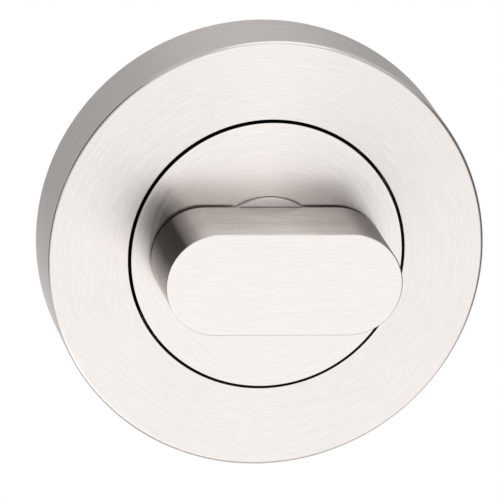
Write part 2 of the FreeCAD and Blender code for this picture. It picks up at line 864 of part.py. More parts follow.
os.makedirs("parts", exist_ok=True)
for part in parts:
    part.Shape.exportStep(f"parts/{part.Label}.step")
    print(part.Label, len(part.Shape.Solids), round(part.Shape.Volume, 2))
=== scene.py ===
import math

import bmesh
import bpy
from bpy.props import FloatProperty, FloatVectorProperty, IntProperty, PointerProperty
from bpy.types import Operator, Panel, PropertyGroup
from mathutils import Matrix, Vector


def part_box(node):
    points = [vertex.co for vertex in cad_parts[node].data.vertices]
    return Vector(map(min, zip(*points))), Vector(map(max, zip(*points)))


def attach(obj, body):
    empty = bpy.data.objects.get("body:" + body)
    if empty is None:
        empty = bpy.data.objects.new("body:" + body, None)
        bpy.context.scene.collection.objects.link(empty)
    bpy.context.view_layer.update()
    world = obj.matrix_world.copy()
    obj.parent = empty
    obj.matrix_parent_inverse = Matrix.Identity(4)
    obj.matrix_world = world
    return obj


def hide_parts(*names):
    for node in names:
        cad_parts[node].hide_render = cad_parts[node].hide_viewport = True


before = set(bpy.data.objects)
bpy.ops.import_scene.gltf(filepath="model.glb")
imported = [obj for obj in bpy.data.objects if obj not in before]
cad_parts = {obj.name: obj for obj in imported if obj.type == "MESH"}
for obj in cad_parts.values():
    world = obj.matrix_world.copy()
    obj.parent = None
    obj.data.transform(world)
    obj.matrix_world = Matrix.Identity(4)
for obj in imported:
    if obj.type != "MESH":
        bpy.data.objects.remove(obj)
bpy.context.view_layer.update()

bl_info = {
    "name": "Bathroom Thumb Turn",
    "version": (1, 0, 0),
    "blender": (4, 5, 0),
    "location": "View3D > Sidebar > Thumb Turn",
    "description": "Builds a brushed stainless thumb turn on a round rose, with its stage",
    "category": "Add Mesh",
}

MM = 0.001
FULL_TURN = 2 * math.pi

# Values of a noise that its darkest and lightest tones stand for.
NOISE_RANGE = (0.3, 0.7)

# Soft boxes and dark flags round the object: direction from it, angle of the full core and
# of the soft rim in degrees, and strength.
CARDS = (
    # soft boxes and dimmer panels that the flat faces show
    ((0.28, -0.83, -0.48), 30, 46, 1.08),
    ((0.50, -0.62, -0.66), 10, 25, 1.1),
    ((-0.24, -0.65, -0.72), 13, 30, 1.65),
    ((-0.52, -0.80, -0.30), 8, 24, 0.98),
    ((-0.38, -0.92, 0.08), 6, 24, 0.62),
    ((0.05, -0.87, 0.50), 18, 23, 0.49),
    ((0.22, -0.92, 0.30), 5, 20, 1.0),
    ((0.50, -0.84, 0.10), 8, 22, 0.40),
    # black flags that the rounded edges show, right, left and upper left
    ((0.95, -0.25, -0.05), 18, 42, 0.02),
    ((-0.96, -0.22, -0.10), 16, 26, 0.02),
    ((-0.84, -0.31, 0.45), 20, 30, 0.02),
    # soft box overhead, and two behind that the side walls show
    ((0.20, -0.30, 0.93), 10, 26, 1.5),
    ((-0.10, 0.70, -0.70), 15, 42, 0.95),
    ((0.15, 0.80, 0.45), 5, 30, 0.75),
)


def low(node):
    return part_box(node)[0]


def high(node):
    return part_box(node)[1]


def length(name, description, default):
    return FloatProperty(name=name, description=description, default=default, unit="LENGTH",
                         precision=5)


def colour(name, description, default):
    return FloatVectorProperty(name=name, description=description, default=default, size=3,
                               subtype="COLOR", min=0, max=1)


def factor(name, description, default):
    return FloatProperty(name=name, description=description, default=default, subtype="FACTOR",
                         min=0, max=1)


def number(name, description, default):
    return FloatProperty(name=name, description=description, default=default, min=0)


class RoseSizes(PropertyGroup):
    """Cover and centre disc of the rose."""

    radius: length("Rose Radius", "Outside radius of the cover", high("rose_cover")[0])
    depth: length("Rose Depth", "How far the cover stands out of the door",
                  -low("rose_cover")[1])
    wall: length("Cover Wall", "Thickness of the cover's side", 1.6 * MM)
    front: length("Cover Front", "Thickness of the cover's face", 2.0 * MM)
    edge_round: length("Cover Edge", "Rounding of the cover's outer edge", 0.42 * MM)
    bore_gap: length("Bore Gap", "Gap between the cover and the centre disc", 0.35 * MM)
    fine_round: length("Fine Edge", "Rounding of the disc's edge and of the cover's bore",
                       0.05 * MM)
    disc_radius: length("Disc Radius", "Outside radius of the centre disc",
                        high("centre_disc")[0])
    disc_front: length("Disc Front", "Distance of the disc's face from the door",
                       -low("centre_disc")[1])
    disc_back: length("Disc Back", "Distance of the disc's back from the door",
                      -high("centre_disc")[1])
    neck_gap: length("Neck Gap", "Gap between the disc's bore and the turn's neck", 0.04 * MM)
    grub_radius: length("Set Screw Hole", "Radius of the hole at the foot of the cover",
                        1.55 * MM)
    segments: IntProperty(name="Segments", description="Sides of each turned form",
                          default=240, min=32, max=720)


class TurnSizes(PropertyGroup):
    """Bar, neck and shaft of the turn."""

    half_length: length("Bar Half Length", "From the axis to the bar's end",
                        high("thumb_turn")[0])
    thickness: length("Bar Thickness", "Height of the level bar", 12.25 * MM)
    front: length("Bar Front", "Distance of the bar's face from the door",
                  -low("thumb_turn")[1])
    standoff: length("Stand-off", "Gap between the centre disc and the bar", 0.75 * MM)
    edge_round: length("Bar Edge", "Rounding of the bar's edges", 0.15 * MM)
    neck_radius: length("Neck Radius", "Radius of the round neck under the bar",
                        high("thumb_turn")[2])
    neck_sink: length("Neck Sink", "How far the neck runs in behind the disc", 0.25 * MM)
    neck_edge: length("Neck Edge", "Rounding of the neck's edge", 0.06 * MM)
    shaft_radius: length("Shaft Radius", "Radius of the shaft in its bush", 4.5 * MM)
    shaft_edge: length("Shaft Edge", "Rounding of the shaft's end", 0.25 * MM)
    shaft_flat: length("Shaft Flat", "Distance of the shaft's flats from the axis", 3.8 * MM)
    flat_out: length("Flat End", "Distance from the door at which the flats end", 2.3 * MM)
    shaft_end: length("Shaft End", "How far the shaft passes the door's face",
                      high("thumb_turn")[1])
    groove_radius: length("Groove Radius", "Radius at the floor of the ring's groove", 4.3 * MM)
    groove_back: length("Groove Back", "Distance of the groove's back edge", 0.15 * MM)
    groove_front: length("Groove Front", "Distance of the groove's front edge", 1.25 * MM)
    socket_half: length("Socket Half Width", "Half the width of the spindle's socket",
                        2.55 * MM)
    socket_room: length("Socket Room", "Room between the socket's floor and the spindle",
                        0.5 * MM)


class FixingSizes(PropertyGroup):
    """Wood screws that hold the plate to the door."""

    head_out: length("Head Face", "Distance of the screw's head from the door",
                     -low("fixing_screws")[1])
    tip: length("Tip", "Depth of the screw's point in the door", high("fixing_screws")[1])
    place: length("Place", "Distance of each screw from the turn's axis", 20 * MM)
    head_radius: length("Head Radius", "Radius of the countersunk head", 3.5 * MM)
    head_rim: length("Head Rim", "Height of the head's straight rim", 0.3 * MM)
    neck_radius: length("Neck Radius", "Radius of the plain neck under the head", 1.4 * MM)
    neck_taper: length("Neck Taper", "Length over which the neck narrows to the core", 0.3 * MM)
    thread_radius: length("Thread Radius", "Outside radius of the thread", 1.75 * MM)
    core_radius: length("Core Radius", "Radius at the root of the thread", 1.2 * MM)
    pitch: length("Pitch", "Advance of the thread in one turn", 1.5 * MM)
    point: length("Point", "Length of the tapered point", 3.2 * MM)
    thread_start: length("Thread Start", "Distance of the thread's start inside the door",
                         0.4 * MM)
    thread_base: factor("Thread Base", "Half the width of the thread's foot, as a share of the "
                        "pitch", 0.35)
    cross_span: length("Cross Span", "Length of each slot of the cross recess", 3.8 * MM)
    cross_width: length("Cross Width", "Width of each slot of the cross recess", 1.0 * MM)
    cross_depth: length("Cross Depth", "Depth of the cross recess", 1.5 * MM)


class Finishes(PropertyGroup):
    """Colours and surface of the metals and plastics."""

    stainless: colour("Stainless", "Colour of the brushed stainless steel",
                      (0.88, 0.831, 0.807))
    zinc: colour("Zinc", "Colour of the cast plate", (0.42, 0.43, 0.44))
    acetal: colour("Acetal", "Colour of the plastic bush", (0.80, 0.78, 0.73))
    spring: colour("Spring Steel", "Colour of the ring, washer and pin", (0.16, 0.16, 0.17))
    plated: colour("Plated Steel", "Colour of the spindle and the stop cam", (0.62, 0.62, 0.60))
    screws: colour("Screw Steel", "Colour of the screws", (0.56, 0.55, 0.52))
    grazing: colour("Grazing Tint", "Tint of the brushed steel seen at a flat angle",
                    (0.60, 0.59, 0.58))
    roughness: factor("Brushed Roughness", "Roughness of the brushed steel", 0.215)
    roughness_spread: factor("Roughness Spread", "How much the brush lines vary in roughness",
                             0.025)
    contrast: factor("Brush Contrast", "How much the brush lines vary in tone", 0.045)
    fine_lines: number("Fine Lines", "Brush lines that vary in tone, for each mm", 6.5)
    deep_lines: number("Deep Lines", "Brush lines that vary in depth, for each mm", 7.0)


class StageSettings(PropertyGroup):
    """Camera, light and floor."""

    azimuth: FloatProperty(name="Azimuth", description="Camera's angle round the axis Z",
                           default=math.radians(-10.855), subtype="ANGLE")
    elevation: FloatProperty(name="Elevation", description="Camera's angle above the level",
                             default=math.radians(16.66), subtype="ANGLE")
    roll: FloatProperty(name="Roll", description="Camera's turn about its own line of sight",
                        default=math.radians(3.04), subtype="ANGLE")
    distance: length("Distance", "From the camera to the rose's face", 0.828)
    focal_length: FloatProperty(name="Focal Length", description="Lens of the camera in mm",
                                default=507.1, min=1)
    shift_across: FloatProperty(name="Shift X", description="Sideways shift of the frame",
                                default=-0.0334)
    shift_up: FloatProperty(name="Shift Y", description="Upward shift of the frame",
                            default=0.0095)
    floor_drop: length("Floor Drop", "Distance of the floor below the axis", 0.36)
    floor_radius: length("Floor Radius", "Radius of the floor", 0.28)
    floor: colour("Floor", "Colour of the floor", (0.86, 0.86, 0.85))
    front_light: number("Front Light", "World in front of the door", 0.60)
    back_light: number("Back Light", "World behind the door", 0.56)


def settings():
    return bpy.context.scene.thumb_turn


# Shapes


def round_corners(points, steps=6):
    """Replaces each corner that has a third value, its radius, with an arc."""
    result = []
    count = len(points)
    for index, point in enumerate(points):
        corner = Vector(point[:2])
        if len(point) == 2:
            result.append(corner)
            continue
        radius = point[2]
        before = (Vector(points[index - 1][:2]) - corner).normalized()
        after = (Vector(points[(index + 1) % count][:2]) - corner).normalized()
        half = before.angle(after) / 2
        centre = corner + (before + after).normalized() * (radius / math.sin(half))
        start = corner + before * (radius / math.tan(half)) - centre
        finish = corner + after * (radius / math.tan(half)) - centre
        sweep = start.angle_signed(finish)
        for step in range(steps + 1):
            angle = -sweep * step / steps
            turned = Vector((start.x * math.cos(angle) - start.y * math.sin(angle),
                             start.x * math.sin(angle) + start.y * math.cos(angle)))
            result.append(centre + turned)
    return result


def mesh_object(name, shape):
    """Puts a bmesh into a new object of the scene, with its face normals pointing outwards."""
    mesh = bpy.data.meshes.new(name)
    bmesh.ops.recalc_face_normals(shape, faces=shape.faces)
    shape.to_mesh(mesh)
    shape.free()
    piece = bpy.data.objects.new(name, mesh)
    bpy.context.scene.collection.objects.link(piece)
    return piece


def smooth(piece, angle=math.radians(28)):
    """Smooth shading that keeps flat faces flat and hard edges hard."""
    piece.data.shade_smooth()
    piece.data.set_sharp_from_angle(angle=angle)
    weighted = piece.modifiers.new("Even Shading", "WEIGHTED_NORMAL")
    weighted.keep_sharp = True
    return piece


def lathe(name, profile, segments, closed=True, across=0):
    """Turns a profile of (radius, out) points about the axis, or about a parallel line."""
    shape = bmesh.new()
    rings = []
    for radius, out in profile:
        if radius < 1e-9:
            rings.append([shape.verts.new((across, -out, 0))])
            continue
        ring = []
        for step in range(segments):
            angle = FULL_TURN * step / segments
            ring.append(shape.verts.new((across + radius * math.cos(angle), -out,
                                         radius * math.sin(angle))))
        rings.append(ring)
    pairs = list(zip(rings, rings[1:]))
    if closed:
        pairs.append((rings[-1], rings[0]))
    for one, other in pairs:
        join_rings(shape, one, other)
    return mesh_object(name, shape)


def join_rings(shape, one, other):
    """Faces between two rings of points, or between a ring and a single point."""
    count = max(len(one), len(other))
    for step in range(count):
        after = (step + 1) % count
        corners = [one[step % len(one)], one[after % len(one)],
                   other[after % len(other)], other[step % len(other)]]
        face = [corner for index, corner in enumerate(corners) if corner not in corners[:index]]
        if len(face) > 2:
            shape.faces.new(face)


def stadium(half_length, radius, end_steps, side_steps):
    """Points of a level bar's outline: two straight sides and two half-round ends."""
    centre = half_length - radius
    points = []
    for side in (1, -1):
        for step in range(end_steps + 1):
            angle = math.pi * (step / end_steps - 0.5)
            points.append((side * (centre + radius * math.cos(angle)),
                           side * radius * math.sin(angle)))
        for step in range(1, side_steps):
            share = 1 - 2 * step / side_steps
            points.append((side * centre * share, side * radius))
    return points


def bar(name, half_length, radius, back, front, edge, end_steps=40, side_steps=12):
    """Level bar with half-round ends and softly rounded edges."""
    shape = bmesh.new()
    section = round_corners([(0, back), (radius, back, edge), (radius, front, edge), (0, front)])
    rings = []
    for reach, out in section[1:-1]:
        inset = radius - reach
        outline = stadium(half_length - inset, reach, end_steps, side_steps)
        rings.append([shape.verts.new((x, -out, z)) for x, z in outline])
    for one, other in zip(rings, rings[1:]):
        join_rings(shape, one, other)
    shape.faces.new(rings[0])
    shape.faces.new(rings[-1])
    return mesh_object(name, shape)


def block(name, low_corner, high_corner):
    """Plain box, used as a cutter."""
    shape = bmesh.new()
    bmesh.ops.create_cube(shape, size=1)
    span = [b - a for a, b in zip(low_corner, high_corner)]
    middle = [(a + b) / 2 for a, b in zip(low_corner, high_corner)]
    bmesh.ops.scale(shape, vec=span, verts=shape.verts)
    bmesh.ops.translate(shape, vec=middle, verts=shape.verts)
    return mesh_object(name, shape)


def combine(piece, tool, operation):
    """Adds the tool to the piece or cuts it out, and removes the tool."""
    modifier = piece.modifiers.new("Combine", "BOOLEAN")
    modifier.object = tool
    modifier.operation = operation
    modifier.solver = "EXACT"
    graph = bpy.context.evaluated_depsgraph_get()
    mesh = bpy.data.meshes.new_from_object(piece.evaluated_get(graph))
    piece.modifiers.remove(modifier)
    old = piece.data
    piece.data = mesh
    mesh.name = piece.name
    bpy.data.meshes.remove(old)
    bpy.data.objects.remove(tool)
    return piece


def finish_piece(piece, material, body, node):
    """Gives a piece its material, the body that it rides on and the node that it stands for."""
    piece.data.materials.clear()
    piece.data.materials.append(material)
    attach(piece, body)
    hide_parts(node)
    return piece


# Materials


class NodeSheet:
    """Adds nodes to a node tree; a socket given as a value becomes a link."""

    def __init__(self, tree):
        self.tree = tree
        tree.nodes.clear()

    def add(self, kind, inputs=None, **values):
        node = self.tree.nodes.new(kind)
        for name, value in values.items():
            setattr(node, name, value)
        for name, value in (inputs or {}).items():
            socket = node.inputs[name]
            if isinstance(value, bpy.types.NodeSocket):
                self.tree.links.new(value, socket)
            else:
                socket.default_value = value
        return node

    def math(self, operation, *values):
        node = self.add("ShaderNodeMath", dict(enumerate(values)), operation=operation)
        return node.outputs[0]

    def vector(self, operation, *values, output=0):
        node = self.add("ShaderNodeVectorMath", dict(enumerate(values)), operation=operation)
        return node.outputs[output]

    def blend_colour(self, share, first, second):
        node = self.add("ShaderNodeMix", data_type="RGBA")
        for index, value in ((0, share), (6, first), (7, second)):
            if isinstance(value, bpy.types.NodeSocket):
                self.tree.links.new(value, node.inputs[index])
            else:
                node.inputs[index].default_value = value
        return node.outputs[2]

    def noise(self, vector, scale, detail=2.0, roughness=0.5):
        node = self.add("ShaderNodeTexNoise", {"Vector": vector, "Scale": scale, "Detail": detail,
                                               "Roughness": roughness})
        return node.outputs[0]

    def parts(self, vector):
        """X, Y and Z of a vector."""
        return self.add("ShaderNodeSeparateXYZ", {0: vector}).outputs

    def scale(self, vector, amount):
        """Vector or colour times a number."""
        return self.add("ShaderNodeVectorMath", {0: vector, "Scale": amount},
                        operation="SCALE").outputs[0]

    def remap(self, value, start, end, new_start=0.0, new_end=1.0, kind="LINEAR"):
        """Stretches one range of values to another and stops at its ends."""
        ends = {0: value, 1: start, 2: end, 3: new_start, 4: new_end}
        return self.add("ShaderNodeMapRange", ends, interpolation_type=kind).outputs[0]

    def bump(self, height, strength, distance):
        """Normal of a surface that a height makes rough."""
        inputs = {"Height": height, "Strength": strength, "Distance": distance}
        return self.add("ShaderNodeBump", inputs).outputs[0]

    def surface(self, inputs):
        """Principled surface as the material's output."""
        shader = self.add("ShaderNodeBsdfPrincipled", inputs)
        self.add("ShaderNodeOutputMaterial", {0: shader.outputs[0]})


def rgba(tone, scale=1.0):
    return (*[min(1.0, channel * scale) for channel in tone], 1.0)


def new_material(name):
    material = bpy.data.materials.new(name)
    material.use_nodes = True
    return material, NodeSheet(material.node_tree)


def millimetres(sheet):
    """Place on the piece in millimetres."""
    return sheet.scale(sheet.add("ShaderNodeTexCoord").outputs["Object"], 1 / MM)


def round_brush(sheet, across, along, depth_share=0.3):
    """Stretched coordinates for lines that run round the axis: fine across, long along."""
    place = millimetres(sheet)
    flat = sheet.vector("MULTIPLY", place, (1, 0, 1))
    radius = sheet.vector("LENGTH", flat, output=1)
    ray = sheet.parts(sheet.scale(sheet.vector("NORMALIZE", flat), along))
    depth = sheet.math("MULTIPLY", sheet.parts(place)[1], depth_share)
    line = sheet.math("MULTIPLY", sheet.math("SUBTRACT", radius, depth), across)
    return sheet.add("ShaderNodeCombineXYZ", {0: line, 1: ray[0], 2: ray[2]}).outputs[0]


def level_brush(sheet, across, along, depth_share=0.15, height_share=1.3):
    """Stretched coordinates for lines that run along X."""
    stretch = (along, across * depth_share, across * height_share)
    return sheet.vector("MULTIPLY", millimetres(sheet), stretch)


def brushed_steel(name, brush, along, bands=(), rougher=0.0, lines=1.0):
    """Stainless steel with fine brush lines, which spread its reflections across them.

    Bands multiply the tone of parts of it as painted shade and painted light, and one as brush
    lines. Each band gives what is measured, its start and end, how soft each of them is,
    and the tone.
    """
    finish = settings().finishes
    material, sheet = new_material(name)
    fine = sheet.noise(brush(sheet, finish.fine_lines, along), 1.0, 3.0, 0.75)
    deep = sheet.noise(brush(sheet, finish.deep_lines, along * 0.5), 1.0, 3.0, 0.7)
    streaks = sheet.remap(deep, *NOISE_RANGE)
    contrast = finish.contrast * lines
    shade = sheet.blend_colour(sheet.remap(fine, *NOISE_RANGE),
                               rgba(finish.stainless, 1 - contrast),
                               rgba(finish.stainless, 1 + contrast))
    # painted shade and painted light in bands, and brush lines
    for measure, start, end, softness, tone in bands:
        cover = band(sheet, measure, start, end, softness)
        shade = sheet.scale(shade, sheet.remap(cover, 0.0, 1.0, 1.0, tone))
    middle = finish.roughness + rougher
    rough = sheet.remap(streaks, 0.0, 1.0, middle - finish.roughness_spread,
                        middle + finish.roughness_spread)
    if brush is round_brush:
        tangent = sheet.add("ShaderNodeTangent", direction_type="RADIAL", axis="Y").outputs[0]
    else:
        tangent = bar_tangent(sheet)
    sheet.surface({
        "Base Color": shade, "Metallic": 1.0, "Roughness": rough, "Anisotropic": 0.97,
        "Anisotropic Rotation": 0.25, "Tangent": tangent,
        "Normal": sheet.bump(streaks, 0.05, 0.004 * MM),
        "Specular Tint": rgba(finish.grazing)})
    return material


def band(sheet, measure, start, end, softness):
    """1 between two values of a measure and 0 outside them, with soft sides."""
    value = measure(sheet)
    rising = sheet.remap(value, start - softness[0], start + softness[0])
    falling = sheet.remap(value, end - softness[1], end + softness[1], 1.0, 0.0)
    return sheet.math("MULTIPLY", rising, falling)


def from_axis(sheet):
    """Distance from the turn's axis."""
    return sheet.vector("LENGTH", sheet.vector("MULTIPLY", millimetres(sheet), (1, 0, 1)),
                        output=1)


def from_door(sheet):
    """Distance out from the door."""
    return sheet.math("MULTIPLY", sheet.parts(millimetres(sheet))[1], -1.0)


def on_side(sheet):
    """1 on the sides of the bar and 0 on its face."""
    turn = settings().turn
    depth = sheet.parts(millimetres(sheet))[1]
    return sheet.math("GREATER_THAN", depth, (turn.edge_round * 0.3 - turn.front) / MM)


def round_end(sheet):
    """Angle round the bar's end from its top, in degrees: left end above 0, right end below."""
    turn = settings().turn
    straight = (turn.half_length - turn.thickness / 2) / MM
    across, _, height = sheet.parts(millimetres(sheet))
    beyond = sheet.math("SUBTRACT", sheet.math("ABSOLUTE", across), straight)
    angle = sheet.math("ARCTAN2", sheet.math("MAXIMUM", beyond, 0.0), height)
    left = sheet.math("MULTIPLY", sheet.math("SIGN", across), -1.0)
    return sheet.math("MULTIPLY", sheet.math("DEGREES", angle),
                      sheet.math("MULTIPLY", left, on_side(sheet)))


def along_bar(sheet):
    """Distance from the bar's middle to the right on its sides, and 0 on its face."""
    return sheet.math("MULTIPLY", sheet.parts(millimetres(sheet))[0], on_side(sheet))


def side_lines(sheet):
    """Brush lines along the bar's sides, and 0 on its face."""
    lines = sheet.noise(level_brush(sheet, 10.0, 0.3), 1.0, 3.0, 0.7)
    return sheet.math("MULTIPLY", lines, on_side(sheet))


def over_neck(sheet):
    """Distance out from the door where the neck shows beside the bar, and 0 elsewhere."""
    turn = settings().turn
    reach = math.sqrt(turn.neck_radius ** 2 - (turn.thickness / 2) ** 2) / MM
    across, depth, _ = sheet.parts(millimetres(sheet))
    within = sheet.math("LESS_THAN", sheet.math("ABSOLUTE", across), reach)
    return sheet.math("MULTIPLY", sheet.math("MULTIPLY", depth, -1.0), within)


def turn_painted_light_and_lines(bar_back, bar_front):
    """Painted shade, light and brush lines on the sides of a bar between two distances from the
    door in mm.
    """
    return (
        # painted shade near the disc, and painted light near the face
        (from_door, bar_back - 0.2, bar_back + 1.6, (0.02, 2.6), 0.83),
        (from_door, bar_front - 2.6, bar_front - 0.1, (2.2, 0.03), 1.26),
        # painted dark reflection on the left end, with a sharp upper side
        (round_end, 31, 87, (12, 20), 0.11),
        (round_end, 40, 62, (1.5, 14), 0.60),
        # painted darker reflection on the right end and the right half
        (round_end, -90, -28, (6, 22), 0.58),
        (along_bar, 5, 20, (4, 1), 0.67),
        # brush lines, and a painted shadow line for the fine gap between the bar and its neck
        (side_lines, 0.5, 2, (0.10, 1), 0.92),
        (over_neck, bar_back + 0.03, bar_back + 0.22, (0.02, 0.05), 0.03),
    )


def bar_tangent(sheet):
    """Direction of the brush lines on the bar: along X on its face, round it on its sides."""
    normal = sheet.add("ShaderNodeNewGeometry").outputs["Normal"]
    axis = (0, 1, 0)
    facing = sheet.math("ABSOLUTE", sheet.vector("DOT_PRODUCT", normal, axis, output=1))
    on_face = sheet.math("GREATER_THAN", facing, 0.7)
    along = sheet.add("ShaderNodeVectorTransform", {0: (1, 0, 0)}, vector_type="VECTOR",
                      convert_from="OBJECT", convert_to="WORLD").outputs[0]
    around = sheet.vector("CROSS_PRODUCT", normal, axis)
    node = sheet.add("ShaderNodeMix", data_type="VECTOR")
    sheet.tree.links.new(on_face, node.inputs[0])
    sheet.tree.links.new(around, node.inputs[4])
    sheet.tree.links.new(along, node.inputs[5])
    return node.outputs[1]


def plain_metal(name, tone, roughness, grain, stretch=(1, 1, 1), mottle=0.12):
    """Metal with mottled tone and a fine surface; stretch draws the grain out along an axis."""
    material, sheet = new_material(name)
    place = sheet.vector("MULTIPLY", millimetres(sheet), stretch)
    fine = sheet.noise(place, grain, 3.0)
    patch = sheet.noise(place, grain * 0.15, 2.0)
    blend = sheet.math("MULTIPLY", sheet.math("ADD", fine, patch), 0.5)
    shade = sheet.blend_colour(blend, rgba(tone, 1 - mottle), rgba(tone, 1 + mottle))
    rough = sheet.math("ADD", sheet.math("MULTIPLY", fine, 0.2), roughness - 0.1)
    sheet.surface({"Base Color": shade, "Metallic": 1.0, "Roughness": rough,
                   "Normal": sheet.bump(fine, 0.25, 0.02 * MM)})
    return material


def moulded_plastic(name, tone):
    """Plastic with the faint grain of its mould."""
    material, sheet = new_material(name)
    fine = sheet.noise(millimetres(sheet), 3.0, 3.0)
    shade = sheet.blend_colour(fine, rgba(tone, 0.94), rgba(tone, 1.04))
    sheet.surface({"Base Color": shade, "Roughness": 0.45,
                   "Normal": sheet.bump(fine, 0.15, 0.02 * MM)})
    return material


def dress_node(node, material):
    """Gives a CAD node a material of the scene."""
    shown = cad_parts[node]
    shown.data.materials.clear()
    shown.data.materials.append(material)


# Operators


class THUMBTURN_OT_build_cover(Operator):
    """Builds the rose's cover with its bore, its rounded edge and the set screw's hole"""

    bl_idname = "thumbturn.build_cover"
    bl_label = "Rose Cover"

    def execute(self, context):
        rose = settings().rose
        bore = rose.disc_radius + rose.bore_gap
        inside = rose.radius - rose.wall
        inner_face = rose.depth - rose.front
        profile = round_corners([
            (inside, 0),
            (rose.radius, 0, rose.fine_round),
            (rose.radius, rose.depth, rose.edge_round),
            (bore, rose.depth, rose.fine_round),
            (bore, inner_face),
            (inside, inner_face),
        ])
        piece = lathe("rose_cover_brushed", profile, rose.segments)
        hole_out = -(low("cover_grub_screw")[1] + high("cover_grub_screw")[1]) / 2
        hole = lathe("grub_hole", [(rose.grub_radius, -rose.wall * 4), (rose.grub_radius, 0),
                                   (0, 0), (0, -rose.wall * 4)], 48)
        hole.data.transform(Matrix.Translation((0, -hole_out, -rose.radius + rose.wall * 2))
                            @ Matrix.Rotation(math.radians(90), 4, "X"))
        combine(piece, hole, "DIFFERENCE")
        smooth(piece)
        steel = brushed_steel("Cover Brushed Steel", round_brush, 9.0)
        finish_piece(piece, steel, "rose", "rose_cover")
        return {"FINISHED"}


class THUMBTURN_OT_build_disc(Operator):
    """Builds the centre disc that the turn's neck stands in"""

    bl_idname = "thumbturn.build_disc"
    bl_label = "Centre Disc"

    def execute(self, context):
        rose, turn = settings().rose, settings().turn
        bore = turn.neck_radius + rose.neck_gap
        profile = round_corners([
            (bore, rose.disc_back),
            (rose.disc_radius, rose.disc_back),
            (rose.disc_radius, rose.disc_front, rose.fine_round),
            (bore, rose.disc_front, rose.fine_round / 2),
        ])
        piece = lathe("centre_disc_brushed", profile, rose.segments)
        smooth(piece)
        rim = rose.disc_radius / MM
        # painted shade: the disc's edge and side wall nearly black, as the gap round it is dark
        bands = [(from_axis, rim - 0.01, rim * 2, (0.01, 0.03), 0.04)]
        steel = brushed_steel("Disc Brushed Steel", round_brush, 6.0, bands, -0.04)
        finish_piece(piece, steel, "rose", "centre_disc")
        return {"FINISHED"}


class THUMBTURN_OT_build_turn(Operator):
    """Builds the bar, its round neck and the shaft with its groove, flats and square socket"""

    bl_idname = "thumbturn.build_turn"
    bl_label = "Thumb Turn"

    def execute(self, context):
        rose, turn = settings().rose, settings().turn
        bar_back = rose.disc_front + turn.standoff
        neck_back = rose.disc_back - turn.neck_sink
        piece = bar("thumb_turn_brushed", turn.half_length, turn.thickness / 2, bar_back,
                    turn.front, turn.edge_round)
        profile = round_corners([
            (0, -turn.shaft_end),
            (turn.shaft_radius, -turn.shaft_end, turn.shaft_edge),
            (turn.shaft_radius, turn.groove_back),
            (turn.groove_radius, turn.groove_back),
            (turn.groove_radius, turn.groove_front),
            (turn.shaft_radius, turn.groove_front),
            (turn.shaft_radius, neck_back),
            (turn.neck_radius, neck_back),
            (turn.neck_radius, bar_back, turn.neck_edge),
            (turn.shaft_radius, bar_back),
            (turn.shaft_radius, bar_back + turn.thickness / 2),
            (0, bar_back + turn.thickness / 2),
        ])
        neck = lathe("neck", profile, rose.segments // 2, closed=False)
        combine(piece, neck, "UNION")
        for side in (-1, 1):
            near, far = sorted((side * turn.shaft_flat, side * turn.shaft_radius * 2))
            flat = block("flat", (-turn.shaft_radius * 2, -turn.flat_out, near),
                         (turn.shaft_radius * 2, turn.shaft_end * 2, far))
            combine(piece, flat, "DIFFERENCE")
        half = turn.socket_half
        socket = block("socket", (-half, low("spindle")[1] - turn.socket_room, -half),
                       (half, turn.shaft_end * 2, half))
        combine(piece, socket, "DIFFERENCE")
        smooth(piece)
        # painted shade and painted light on the bar's sides, with its brush lines
        bands = turn_painted_light_and_lines(bar_back / MM, turn.front / MM)
        steel = brushed_steel("Turn Brushed Steel", level_brush, 0.4, bands, -0.03, 0.8)
        finish_piece(piece, steel, "turn", "thumb_turn")
        return {"FINISHED"}


class THUMBTURN_OT_build_fixings(Operator):
    """Builds the two wood screws with their threads and cross recesses"""

    bl_idname = "thumbturn.build_fixings"
    bl_label = "Fixing Screws"

    def execute(self, context):
        steel = plain_metal("Screw Steel", settings().finishes.screws, 0.32, 2.0)
        for side, name in ((-1, "fixing_screw_left"), (1, "fixing_screw_right")):
            piece = wood_screw(name, side * settings().fixings.place)
            finish_piece(piece, steel, "rose", "fixing_screws")
        for node in ("disc_screws", "cover_grub_screw"):
            dress_node(node, steel)
        return {"FINISHED"}


def wood_screw(name, across):
    """Countersunk wood screw whose thread winds round a plain core."""
    sizes = settings().fixings
    rim = sizes.head_out - sizes.head_rim
    neck_front = rim - (sizes.head_radius - sizes.neck_radius)
    point_out = -(sizes.tip - sizes.point)
    profile = [
        (0, -sizes.tip),
        (sizes.core_radius, point_out),
        (sizes.core_radius, -sizes.thread_start),
        (sizes.neck_radius, -sizes.thread_start + sizes.neck_taper),
        (sizes.neck_radius, neck_front),
        (sizes.head_radius, rim),
        (sizes.head_radius, sizes.head_out),
        (0, sizes.head_out),
    ]
    piece = lathe(name, profile, 48, closed=False, across=across)
    span, width = sizes.cross_span / 2, sizes.cross_width / 2
    for reach, rise in ((span, width), (width, span)):
        cut = block("cross", (across - reach, -sizes.head_out - sizes.cross_depth, -rise),
                    (across + reach, -sizes.head_out + sizes.cross_depth, rise))
        combine(piece, cut, "DIFFERENCE")
    thread = thread_ridge(name + "_thread", sizes, across)
    combine(piece, thread, "UNION")
    return smooth(piece)


